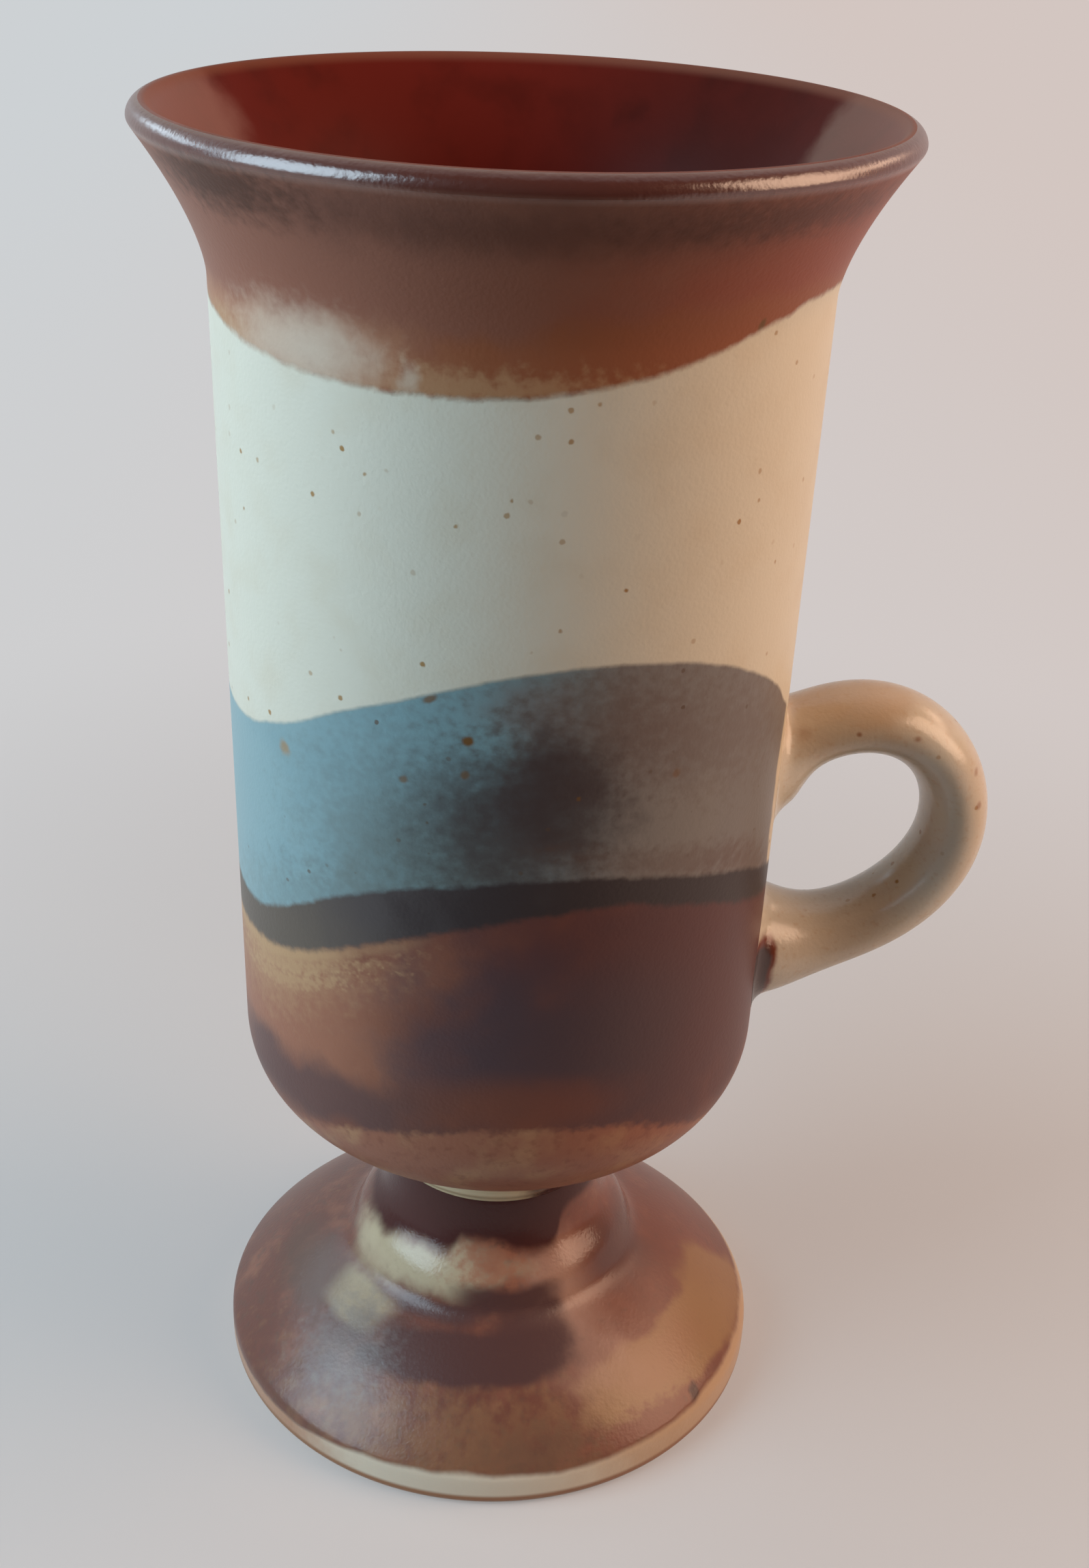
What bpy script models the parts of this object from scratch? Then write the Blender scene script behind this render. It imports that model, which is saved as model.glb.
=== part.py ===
"""Pedestal mug: a thrown stoneware cup on a hollow foot, with a pulled ear handle.

Lengths are in metres, +Z is up, and the mug stands on z = 0. The origin is the middle of the mug's
footprint, so the cup's own axis stands a little to the -X side of it and the handle points to +X.
"""

import math

import bmesh
import bpy
from mathutils import Vector

# Overall
MUG_H = 0.1500  # from the table to the top of the lip

# Fit between neighbours
JOINT_GAP = 0.0003

# Foot, from the table up
EDGE_BAND_H = 0.0042  # upright band round the foot's edge
EDGE_BEVEL = 0.0007
FOOT_RING_W = 0.0046  # flat ring that the mug stands on, with its bevel
SKIRT_RISE = 0.0107
SKIRT_W = 0.0156
SKIRT_CROWN = 0.0012  # swell of the skirt's slope
TIER_RISE = 0.0060  # rounded step between skirt and neck
TIER_W = 0.0034
TIER_BULGE = 0.0007
NECK_RISE = 0.0077
NECK_R = 0.0130  # shared by the foot's top, the slip and the cup's stub
NECK_SPREAD = 0.0009
WAIST_DEPTH = 0.0004
FOOT_WALL = 0.0052
NECK_BORE_R = 0.0060
NECK_CAP_T = 0.0060

# Slip under the cup
NECK_SLIP_T = 0.0015
NECK_SLIP_BULGE = 0.0008  # how far the squeezed-out ring stands proud

# Cup, from its stub up
STUB_H = 0.0016
BOWL_R = 0.0116  # round bottom
WALL_R = 0.02963  # where the round bottom meets the wall
WALL_SPREAD = 0.0012  # the wall opens by this much on its way up
FLARE_RISE = 0.01435
FLARE_REACH = 0.00683
FLARE_POWER = 1.53
LIP_R = 0.00175  # rounding from the crest down the outer side
CUP_WALL_T = 0.0036
CUP_FLOOR_T = 0.0065
INNER_BOWL_R = 0.0100

# Handle: a pulled strap, upright in the XZ plane
LOWER_ROOT_RISE = 0.0081  # from the foot of the wall to the lower root's middle
ROOT_SPAN = 0.0232  # between the roots' middles
CROOK_DROP = 0.0071  # from the upper root's middle down to the outermost point
HANDLE_REACH = 0.0256  # from the foot of the wall to the strap's outer face
STRAP_T = 0.0074
STRAP_W = 0.0112
ROOT_SINK = 0.0016
ROOT_RUN_IN = 0.0070
UPPER_ARM = 0.0121  # the four arms of the two curves that meet at the outermost point
UPPER_SLOPE = 0.91
UPPER_CROOK = 0.0105
LOWER_ARM = 0.0125
LOWER_SLOPE = -0.10
LOWER_CROOK = 0.0098
UPPER_FLARE_T = 0.0042  # extra thickness, width and length of the swell at each root
UPPER_FLARE_W = 0.0034
UPPER_FLARE_L = 0.0044
LOWER_FLARE_T = 0.0062
LOWER_FLARE_W = 0.0046
LOWER_FLARE_L = 0.0068

# Slip at the handle's ends
HANDLE_SLIP_T = 0.0015
HANDLE_SLIP_LAP = 0.0008  # how far the smoothed slip stands out round the strap

# Fineness of the round surfaces
TURN_STEPS = 56
ARC_STEPS = 6
STRAP_STEPS = 14
STRAP_SIDES = 20
MERGE = 0.00001

# Heights that follow from the stack of pieces
EDGE_TOP_Z = EDGE_BAND_H
GROOVE_Z = EDGE_TOP_Z + SKIRT_RISE
TIER_TOP_Z = GROOVE_Z + TIER_RISE
FOOT_TOP_Z = TIER_TOP_Z + NECK_RISE
NECK_SLIP_Z = FOOT_TOP_Z + JOINT_GAP
STUB_Z = NECK_SLIP_Z + NECK_SLIP_T + JOINT_GAP
COVE_Z = STUB_Z + STUB_H
COVE_R = WALL_R - BOWL_R - NECK_R
BOWL_Z = COVE_Z + COVE_R
WALL_Z = BOWL_Z + BOWL_R
LIP_Z = MUG_H - LIP_R
FLARE_Z = LIP_Z - FLARE_RISE
WALL_RISE = FLARE_Z - WALL_Z
FLOOR_Z = BOWL_Z + CUP_FLOOR_T

# Radii that follow
TIER_TOP_R = NECK_R + NECK_SPREAD
GROOVE_R = TIER_TOP_R + TIER_W
EDGE_R = GROOVE_R + SKIRT_W
WALL_TOP_R = WALL_R + WALL_SPREAD
RIM_R = WALL_TOP_R + FLARE_REACH
OUTERMOST_R = WALL_R + HANDLE_REACH
CUP_AXIS = Vector(((RIM_R - OUTERMOST_R) / 2, 0.0, 0.0))

# Glaze colours, linear
CREAM = (0.62, 0.55, 0.40, 1.0)
RUST = (0.17, 0.07, 0.04, 1.0)
SLIP_BROWN = (0.30, 0.20, 0.12, 1.0)


def remove_everything():
    for item in list(bpy.data.objects):
        bpy.data.objects.remove(item)


def new_collection(name):
    group = bpy.data.collections.new(name)
    bpy.context.scene.collection.children.link(group)
    return group


def glaze(name, colour, roughness):
    material = bpy.data.materials.new(name)
    material.use_nodes = True
    shader = material.node_tree.nodes["Principled BSDF"]
    shader.inputs["Base Color"].default_value = colour
    shader.inputs["Roughness"].default_value = roughness
    shader.inputs["Metallic"].default_value = 0.0
    return material


def arc(centre_r, centre_z, radius, start_deg, end_deg, steps=ARC_STEPS):
    """Points of a round stretch of a profile, from one angle to another."""
    points = []
    for i in range(steps + 1):
        angle = math.radians(start_deg + (end_deg - start_deg) * i / steps)
        points.append((centre_r + radius * math.cos(angle), centre_z + radius * math.sin(angle)))
    return points


def bowed(start, end, bow, steps=ARC_STEPS):
    """Points of a slope that swells to its left by bow, or hollows where bow is negative."""
    along = Vector(end) - Vector(start)
    left = Vector((-along.y, along.x)).normalized()
    points = []
    for i in range(steps + 1):
        t = i / steps
        points.append(tuple(Vector(start) + along * t + left * bow * 4 * t * (1 - t)))
    return points


def joined(*stretches):
    """One profile from several stretches, without the points that they share."""
    points = []
    for stretch in stretches:
        for point in stretch:
            if not points or (Vector(point) - Vector(points[-1])).length > MERGE:
                points.append(point)
    return points


def turned(name, profile, group, axis):
    """A body turned about the cup's axis from (radius, height) points, down its outer side."""
    mesh = bpy.data.meshes.new(name)
    points = [(radius, 0.0, height) for radius, height in profile]
    edges = [(i, i + 1) for i in range(len(points) - 1)]
    mesh.from_pydata(points, edges, [])
    body = bpy.data.objects.new(name, mesh)
    group.objects.link(body)
    body.parent = axis
    screw = body.modifiers.new("Turn", "SCREW")
    screw.axis = "Z"
    screw.angle = math.tau
    screw.steps = TURN_STEPS
    screw.render_steps = TURN_STEPS
    screw.use_merge_vertices = True
    screw.merge_threshold = MERGE
    screw.use_smooth_shade = True
    return body


def wall_radius(height):
    """Outer radius of the cup's nearly straight wall."""
    return WALL_R + WALL_SPREAD * (height - WALL_Z) / WALL_RISE


def flare(foot_r, top_r, top_z):
    """The flared mouth, from the top of the wall out to a circle at the lip."""
    points = []
    for i in range(ARC_STEPS + 1):
        t = i / ARC_STEPS
        points.append((foot_r + (top_r - foot_r) * t**FLARE_POWER, FLARE_Z + (top_z - FLARE_Z) * t))
    return points


def cup_profile():
    """Up the inside to the lip's crest, then down the outside to the stub."""
    inner_wall_r = WALL_R - CUP_WALL_T
    crest_r = RIM_R - LIP_R
    inside = joined(
        [(0.0, FLOOR_Z)],
        arc(inner_wall_r - INNER_BOWL_R, FLOOR_Z + INNER_BOWL_R, INNER_BOWL_R, -90, 0),
        flare(WALL_TOP_R - CUP_WALL_T, crest_r, MUG_H),
    )
    outside = joined(
        list(reversed(flare(WALL_TOP_R, RIM_R, LIP_Z))),
        arc(WALL_R - BOWL_R, WALL_Z, BOWL_R, 0, -90),
        arc(WALL_R - BOWL_R, COVE_Z, COVE_R, 90, 180),
        [(NECK_R, STUB_Z), (0.0, STUB_Z)],
    )
    return joined(inside, arc(crest_r, LIP_Z, LIP_R, 90, 0), outside)


def foot_profile():
    """Outer side from the neck down to the table, then back up through the hollow underneath."""
    tier_foot = (GROOVE_R, GROOVE_Z)
    tier_top = (TIER_TOP_R, TIER_TOP_Z)
    edge_top = (EDGE_R, EDGE_TOP_Z)
    ring_inner_r = EDGE_R - FOOT_RING_W
    bore_foot_z = GROOVE_Z - FOOT_WALL
    outside = joined(
        [(0.0, FOOT_TOP_Z)],
        bowed((NECK_R, FOOT_TOP_Z), tier_top, -WAIST_DEPTH),
        bowed(tier_top, tier_foot, TIER_BULGE),
        bowed(tier_foot, edge_top, SKIRT_CROWN),
        [(EDGE_R, EDGE_BEVEL), (EDGE_R - EDGE_BEVEL, 0.0), (ring_inner_r, 0.0)],
    )
    inside = joined(
        bowed((ring_inner_r, 0.0), (NECK_BORE_R, bore_foot_z), -SKIRT_CROWN),
        [(NECK_BORE_R, FOOT_TOP_Z - NECK_CAP_T), (0.0, FOOT_TOP_Z - NECK_CAP_T)],
    )
    return joined(outside, inside)


def neck_slip_profile():
    top = NECK_SLIP_Z + NECK_SLIP_T
    return joined(
        [(0.0, top)],
        bowed((NECK_R, top), (NECK_R, NECK_SLIP_Z), NECK_SLIP_BULGE),
        [(0.0, NECK_SLIP_Z)],
    )


def bezier(corners, steps):
    """Points of a cubic curve from its four control points."""
    a, b, c, d = (Vector(corner) for corner in corners)
    points = []
    for i in range(steps + 1):
        t = i / steps
        s = 1 - t
        points.append(a * s**3 + b * 3 * s * s * t + c * 3 * s * t * t + d * t**3)
    return points


def handle_path():
    """The strap's middle line, from its upper root round the crook to its lower root."""
    root_r = WALL_R - ROOT_SINK
    crook_r = OUTERMOST_R - STRAP_T / 2
    lower_z = WALL_Z + LOWER_ROOT_RISE
    upper_z = lower_z + ROOT_SPAN
    crook_z = upper_z - CROOK_DROP
    upper = [
        (root_r, upper_z),
        (root_r + UPPER_ARM, upper_z + UPPER_SLOPE * UPPER_ARM),
        (crook_r, crook_z + UPPER_CROOK),
        (crook_r, crook_z),
    ]
    lower = [
        (crook_r, crook_z),
        (crook_r, crook_z - LOWER_CROOK),
        (root_r + LOWER_ARM, lower_z + LOWER_SLOPE * LOWER_ARM),
        (root_r, lower_z),
    ]
    return bezier(upper, STRAP_STEPS) + bezier(lower, STRAP_STEPS)[1:]


def strap_sections(path):
    """Place, thickness and width of the strap along its path.

    It swells towards both roots, and a run-in carries each root on into the wall.
    """
    run = [0.0]
    for before, after in zip(path, path[1:]):
        run.append(run[-1] + (after - before).length)
    sections = []
    for place, distance in zip(path, run):
        upper = math.exp(-((distance / UPPER_FLARE_L) ** 2))
        lower = math.exp(-(((run[-1] - distance) / LOWER_FLARE_L) ** 2))
        thickness = STRAP_T + UPPER_FLARE_T * upper + LOWER_FLARE_T * lower
        width = STRAP_W + UPPER_FLARE_W * upper + LOWER_FLARE_W * lower
        sections.append((place, thickness, width))
    first = path[0] + (path[0] - path[1]).normalized() * ROOT_RUN_IN
    last = path[-1] + (path[-1] - path[-2]).normalized() * ROOT_RUN_IN
    return [(first, *sections[0][1:])] + sections + [(last, *sections[-1][1:])]


def oval_loft(name, sections, lap, group, axis):
    """A closed bar through unlike oval sections in the handle's plane, each grown by lap all round."""
    shape = bmesh.new()
    rings = []
    for i, (place, thickness, width) in enumerate(sections):
        before = sections[max(i - 1, 0)][0]
        after = sections[min(i + 1, len(sections) - 1)][0]
        ahead = (after - before).normalized()
        ring = []
        for k in range(STRAP_SIDES):
            angle = math.tau * k / STRAP_SIDES
            out = (thickness / 2 + lap) * math.cos(angle)
            side = (width / 2 + lap) * math.sin(angle)
            ring.append(shape.verts.new((place.x - ahead.y * out, side, place.y + ahead.x * out)))
        rings.append(ring)
    for ring, following in zip(rings, rings[1:]):
        for k in range(STRAP_SIDES):
            j = (k + 1) % STRAP_SIDES
            shape.faces.new((ring[k], ring[j], following[j], following[k]))
    shape.faces.new(rings[0])
    shape.faces.new(rings[-1])
    bmesh.ops.recalc_face_normals(shape, faces=shape.faces)
    mesh = bpy.data.meshes.new(name)
    shape.to_mesh(mesh)
    shape.free()
    mesh.shade_smooth()
    body = bpy.data.objects.new(name, mesh)
    group.objects.link(body)
    body.parent = axis
    return body


def wall_sleeve(name, stand_off, group, axis):
    """A cutter that follows the cup's wall behind the handle, standing off from it."""
    low = WALL_Z - BOWL_R
    high = WALL_Z + WALL_RISE
    profile = [
        (0.0, high),
        (wall_radius(high) + stand_off, high),
        (wall_radius(low) + stand_off, low),
        (0.0, low),
    ]
    sleeve = turned(name, profile, group, axis)
    sleeve.hide_render = True
    sleeve.display_type = "WIRE"
    return sleeve


def combine(body, cutter, operation):
    boolean = body.modifiers.new(operation.title(), "BOOLEAN")
    boolean.operation = operation
    boolean.solver = "EXACT"
    boolean.object = cutter
    return body


def dress(body, material):
    body.data.materials.append(material)
    return body


def build():
    remove_everything()
    parts = new_collection("pedestal_mug")
    cutters = new_collection("cutters")
    axis = bpy.data.objects.new("cup_axis", None)
    axis.location = CUP_AXIS
    parts.objects.link(axis)

    rust_glaze = glaze("rust_glaze", RUST, 0.25)
    cream_glaze = glaze("cream_glaze", CREAM, 0.45)
    glazed_slip = glaze("glazed_slip", SLIP_BROWN, 0.35)

    dress(turned("cup_body", cup_profile(), parts, axis), cream_glaze)
    dress(turned("pedestal_foot", foot_profile(), parts, axis), rust_glaze)
    dress(turned("neck_slip_joint", neck_slip_profile(), parts, axis), glazed_slip)

    sections = strap_sections(handle_path())
    slip_foot = wall_sleeve("wall_cutter", JOINT_GAP, cutters, axis)
    slip_face = wall_sleeve("slip_cutter", JOINT_GAP + HANDLE_SLIP_T, cutters, axis)
    strap_end = wall_sleeve("strap_cutter", 2 * JOINT_GAP + HANDLE_SLIP_T, cutters, axis)
    strap = oval_loft("handle", sections, 0.0, parts, axis)
    dress(combine(strap, strap_end, "DIFFERENCE"), cream_glaze)

    ends = {
        "handle_upper_slip_joint": sections[:STRAP_STEPS],
        "handle_lower_slip_joint": sections[-STRAP_STEPS:],
    }
    for name, end in ends.items():
        slip = oval_loft(name, end, HANDLE_SLIP_LAP, parts, axis)
        combine(slip, slip_foot, "DIFFERENCE")
        dress(combine(slip, slip_face, "INTERSECT"), cream_glaze)


build()
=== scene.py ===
"""Looks of the pedestal mug: a thrown stoneware cup on a turned foot, with banded glazes and a pulled handle.

Sizes are in millimetres, and MM turns them into the frame's metres. The wheel is the mug's own frame: its
origin is where the cup's axis meets the table, +Z is up and -Y faces the camera. A turn is an angle about
the axis in degrees, 0 towards the camera and growing to the right, so the handle stands at HANDLE_TURN.
"""

import math
from typing import NamedTuple

import bmesh
import bpy
import numpy as np
from mathutils import Matrix, Vector


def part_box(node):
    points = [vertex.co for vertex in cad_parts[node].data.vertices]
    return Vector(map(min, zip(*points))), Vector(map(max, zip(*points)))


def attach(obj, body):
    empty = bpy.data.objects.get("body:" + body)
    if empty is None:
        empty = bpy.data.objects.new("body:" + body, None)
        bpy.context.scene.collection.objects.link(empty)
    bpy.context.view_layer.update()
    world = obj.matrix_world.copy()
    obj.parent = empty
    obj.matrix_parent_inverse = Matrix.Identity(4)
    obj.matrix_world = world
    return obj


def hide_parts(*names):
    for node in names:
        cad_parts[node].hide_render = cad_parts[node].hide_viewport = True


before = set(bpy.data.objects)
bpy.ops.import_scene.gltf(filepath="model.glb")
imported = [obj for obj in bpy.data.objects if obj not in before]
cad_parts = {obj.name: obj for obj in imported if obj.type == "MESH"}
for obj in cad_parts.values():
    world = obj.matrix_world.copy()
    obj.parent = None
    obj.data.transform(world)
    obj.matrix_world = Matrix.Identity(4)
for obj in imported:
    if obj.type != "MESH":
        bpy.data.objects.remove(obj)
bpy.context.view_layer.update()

MM = 0.001

# Places that the frame gives
cup_low, cup_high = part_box("cup_body")
foot_low, foot_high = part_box("pedestal_foot")
slip_low, slip_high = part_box("neck_slip_joint")
strap_low, strap_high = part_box("handle")
CUP_AXIS = Vector(((cup_low.x + cup_high.x) / 2, (cup_low.y + cup_high.y) / 2, 0.0))
RIM_R = (cup_high.x - cup_low.x) / 2 / MM
MUG_H = cup_high.z / MM
STUB_Z = cup_low.z / MM
EDGE_R = (foot_high.x - foot_low.x) / 2 / MM
FOOT_TOP_Z = foot_high.z / MM
SLIP_MID_Z = (slip_low.z + slip_high.z) / 2 / MM
SLIP_R = (slip_high.x - slip_low.x) / 2 / MM
OUTERMOST_R = (strap_high.x - CUP_AXIS.x) / MM

# Wheel frame
HANDLE_TURN = 94.0
AXIS_PLACE = Matrix.Translation(CUP_AXIS)
UPRIGHT = Matrix.Rotation(math.radians(90.0 - HANDLE_TURN), 4, "Z")
WHEEL = AXIS_PLACE @ UPRIGHT

# Cup
STUB_H = 1.6
BOWL_R = 11.6
WALL_R = 29.63
WALL_SPREAD = 1.2
FLARE_RISE = 14.35
FLARE_POWER = 1.53
LIP_R = 1.75  # rounding from the crest down the outer side
CUP_WALL_T = 3.6
CUP_FLOOR_T = 6.5
INNER_BOWL_R = 10.0
LINER_LEAN = 3.0  # how much steeper than out a face of the lip looks up where the liner ends
CUP_EASE = 0.25  # how far the glaze eases a corner

# Foot
EDGE_BAND_H = 4.2
EDGE_BEVEL = 0.7
FOOT_RING_W = 4.6
SKIRT_W = 15.6
SKIRT_RISE = 10.7
SKIRT_CROWN = 1.2
TIER_W = 3.4
TIER_RISE = 6.0
TIER_BULGE = 1.0
NECK_R = 13.0
WAIST_DEPTH = 0.4
FOOT_WALL = 5.2
NECK_BORE_R = 6.0
NECK_CAP_T = 6.0
TIER_EASE = 1.5
EDGE_EASE = 0.5
RING_HALF_H = 1.5  # half the height of the slip ring, with the glaze that runs off it
RING_SINK = 0.15  # how far its upper and lower edge lie inside the neck
RING_CORE = 2.0  # and how far its closed inner side does

# Handle
LOWER_ROOT_RISE = 8.1
ROOT_SPAN = 23.2
CROOK_DROP = 7.1
STRAP_T = 7.4
STRAP_W = 11.2
ROOT_SINK = 1.6
UPPER_ARM = 12.1
UPPER_SLOPE = 0.91
UPPER_CROOK = 10.5
LOWER_ARM = 12.5
LOWER_SLOPE = -0.10
LOWER_CROOK = 9.8
UPPER_FLARE_T = 4.2
UPPER_FLARE_W = 3.4
UPPER_FLARE_L = 4.4
LOWER_FLARE_T = 6.2
LOWER_FLARE_W = 4.6
LOWER_FLARE_L = 6.8
FILLET_R = 1.5  # slip smoothed into the corner between strap and wall
ROOT_RUN_IN = 9.0
ROOT_REACH = 5.0  # the stretch next to the wall that is meshed by its distance from the wall

# Heights and radii that follow
COVE_R = WALL_R - BOWL_R - NECK_R
COVE_Z = STUB_Z + STUB_H
BOWL_Z = COVE_Z + COVE_R
WALL_Z = BOWL_Z + BOWL_R
LIP_Z = MUG_H - LIP_R
FLARE_Z = LIP_Z - FLARE_RISE
WALL_RISE = FLARE_Z - WALL_Z
WALL_TOP_R = WALL_R + WALL_SPREAD
FLOOR_Z = BOWL_Z + CUP_FLOOR_T
GROOVE_Z = EDGE_BAND_H + SKIRT_RISE
GROOVE_R = EDGE_R - SKIRT_W
TIER_TOP_Z = GROOVE_Z + TIER_RISE
TIER_TOP_R = GROOVE_R - TIER_W

# Fineness of the meshes
TURN_SEGMENTS = 192
LONGEST_STEP = 1.6
SHARPEST_STEP = math.radians(6.0)
FINE_STEP = 0.1
STRAP_STEPS = 60  # of each half of the strap's middle line
STRAP_SIDES = 56
STRAP_RINGS = 69  # between the roots
RUN_IN_STEPS = 11
FILLET_LEVELS = [-0.25, 0.0, 0.03, 0.1, 0.22, 0.4, 0.65, 1.0]  # distances from the wall, in fillet radii
ROOT_STEP = 0.5
RING_STEPS = 24


def arc(centre_r, centre_z, radius, start_deg, end_deg, steps=24):
    """Points of a round stretch of a profile."""
    points = []
    for i in range(steps + 1):
        angle = math.radians(start_deg + (end_deg - start_deg) * i / steps)
        points.append((centre_r + radius * math.cos(angle), centre_z + radius * math.sin(angle)))
    return points


def bowed(start, end, bow, steps=24):
    """Points of a slope that swells to its left by bow, or hollows where bow is negative."""
    along = Vector(end) - Vector(start)
    left = Vector((-along.y, along.x)).normalized()
    points = []
    for i in range(steps + 1):
        t = i / steps
        points.append(tuple(Vector(start) + along * t + left * bow * 4 * t * (1 - t)))
    return points


def wall_radius(height):
    """Outer radius of the cup's nearly straight wall."""
    return WALL_R + WALL_SPREAD * (height - WALL_Z) / WALL_RISE


def flare(foot_r, top_r, top_z, steps=32):
    """The flared mouth, from the top of the wall out to a circle at the lip."""
    points = []
    for i in range(steps + 1):
        t = i / steps
        points.append((foot_r + (top_r - foot_r) * t**FLARE_POWER, FLARE_Z + (top_z - FLARE_Z) * t))
    return points


def sampled(at, along, points):
    """Points of a line at the places in at, from the place of each of its points along it."""
    return np.stack([np.interp(at, along, column) for column in points.T], axis=1)


def eased(points, ease):
    """A profile with its corners eased as glaze eases them, and with short steps only where it bends."""
    places = np.array(points, float)
    length = np.concatenate([[0.0], np.cumsum(np.hypot(*np.diff(places, axis=0).T))])
    keep = np.concatenate([[True], np.diff(length) > FINE_STEP / 100])
    places = places[keep]
    length = length[keep]
    along = np.linspace(0.0, length[-1], int(length[-1] / FINE_STEP) + 1)
    fine = sampled(along, length, places)
    half = int(3 * ease / FINE_STEP)
    weights = np.exp(-0.5 * (np.arange(-half, half + 1) * FINE_STEP / ease) ** 2)
    weights /= weights.sum()
    padded = np.concatenate([np.repeat(fine[:1], half, 0), fine, np.repeat(fine[-1:], half, 0)])
    soft = np.stack([np.convolve(column, weights, "valid") for column in padded.T], axis=1)
    soft[0] = fine[0]
    soft[-1] = fine[-1]

    heading = np.unwrap(np.arctan2(*np.diff(soft, axis=0).T[::-1]))
    bend = np.concatenate([[0.0], np.abs(np.diff(heading)), [0.0]])
    stride = np.cumsum(FINE_STEP / LONGEST_STEP + bend / SHARPEST_STEP)
    chosen = [0]
    for i in range(1, len(soft) - 1):
        if stride[i] - stride[chosen[-1]] >= 1.0:
            chosen.append(i)
    return [tuple(soft[i]) for i in chosen + [len(soft) - 1]]


def cup_profile():
    """From the middle of the cup's floor up inside to the lip's crest, then down outside to the stub."""
    inner_wall_r = WALL_R - CUP_WALL_T
    crest_r = RIM_R - LIP_R
    inside = [(0.0, FLOOR_Z)]
    inside += arc(inner_wall_r - INNER_BOWL_R, FLOOR_Z + INNER_BOWL_R, INNER_BOWL_R, -90, 0)
    inside += flare(WALL_TOP_R - CUP_WALL_T, crest_r, MUG_H)
    lip = arc(crest_r, LIP_Z, LIP_R, 90, 0)
    outside = list(reversed(flare(WALL_TOP_R, RIM_R, LIP_Z)))
    outside += arc(WALL_R - BOWL_R, WALL_Z, BOWL_R, 0, -90)
    outside += arc(WALL_R - BOWL_R, COVE_Z, COVE_R, 90, 180)
    outside += [(NECK_R, SLIP_MID_Z), (0.0, SLIP_MID_Z)]
    return eased(inside + lip + outside, CUP_EASE)


def foot_profile():
    """From the neck's top down the outside to the table, then back up through the hollow underneath."""
    tier_foot = (GROOVE_R, GROOVE_Z)
    tier_top = (TIER_TOP_R, TIER_TOP_Z)
    ring_inner_r = EDGE_R - FOOT_RING_W
    bore_foot_z = GROOVE_Z - FOOT_WALL
    outside = [(0.0, SLIP_MID_Z), (NECK_R, SLIP_MID_Z)]
    outside += bowed((NECK_R, FOOT_TOP_Z), tier_top, -WAIST_DEPTH)
    outside += bowed(tier_top, tier_foot, TIER_BULGE)
    skirt = bowed(tier_foot, (EDGE_R, EDGE_BAND_H), SKIRT_CROWN)
    half_way = len(skirt) // 2
    edge = skirt[half_way:] + [(EDGE_R, EDGE_BEVEL), (EDGE_R - EDGE_BEVEL, 0.0), (ring_inner_r, 0.0)]
    inside = bowed((ring_inner_r, 0.0), (NECK_BORE_R, bore_foot_z), -SKIRT_CROWN)
    inside += [(NECK_BORE_R, FOOT_TOP_Z - NECK_CAP_T), (0.0, FOOT_TOP_Z - NECK_CAP_T)]
    return eased(outside + skirt[: half_way + 1], TIER_EASE)[:-1] + eased(edge + inside, EDGE_EASE)


def ring_profile():
    """The bead of slip squeezed out where the cup's stub sits on the neck."""
    bulge = SLIP_R - NECK_R
    outside = []
    for i in range(RING_STEPS + 1):
        t = 1 - 2 * i / RING_STEPS
        swell = bulge * math.cos(t * math.pi / 2) ** 2
        outside.append((NECK_R - RING_SINK + swell, SLIP_MID_Z + t * RING_HALF_H))
    core_r = NECK_R - RING_CORE
    top = (core_r, SLIP_MID_Z + RING_HALF_H)
    foot = (core_r, SLIP_MID_Z - RING_HALF_H)
    return [top] + outside + [foot, top]


def finished(name, shape, placement):
    """An object from a shape in millimetres, set down in the frame and shaded smooth."""
    mesh = bpy.data.meshes.new(name)
    shape.to_mesh(mesh)
    shape.free()
    mesh.transform(Matrix.Scale(MM, 4))
    mesh.shade_smooth()
    piece = bpy.data.objects.new(name, mesh)
    bpy.context.scene.collection.objects.link(piece)
    piece.matrix_world = placement
    return piece


def turned(name, profile):
    """A skin turned about the cup's axis from (radius, height) points."""
    shape = bmesh.new()
    rings = []
    for radius, height in profile:
        if radius < FINE_STEP:
            rings.append([shape.verts.new((0.0, 0.0, height))] * TURN_SEGMENTS)
            continue
        ring = []
        for k in range(TURN_SEGMENTS):
            turn = math.tau * k / TURN_SEGMENTS
            ring.append(shape.verts.new((radius * math.sin(turn), -radius * math.cos(turn), height)))
        rings.append(ring)
    for ring, following in zip(rings, rings[1:]):
        for k in range(TURN_SEGMENTS):
            j = (k + 1) % TURN_SEGMENTS
            corners = list(dict.fromkeys((ring[k], ring[j], following[j], following[k])))
            shape.faces.new(corners)
    bmesh.ops.remove_doubles(shape, verts=shape.verts, dist=FINE_STEP / 1000)
    bmesh.ops.recalc_face_normals(shape, faces=shape.faces)
    shape.transform(UPRIGHT)
    return finished(name, shape, AXIS_PLACE)


def bezier(corners, steps):
    """Points of a cubic curve from its four control points."""
    a, b, c, d = (np.array(corner, float) for corner in corners)
    t = np.linspace(0.0, 1.0, steps + 1)[:, None]
    s = 1 - t
    return a * s**3 + b * 3 * s * s * t + c * 3 * s * t * t + d * t**3


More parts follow.
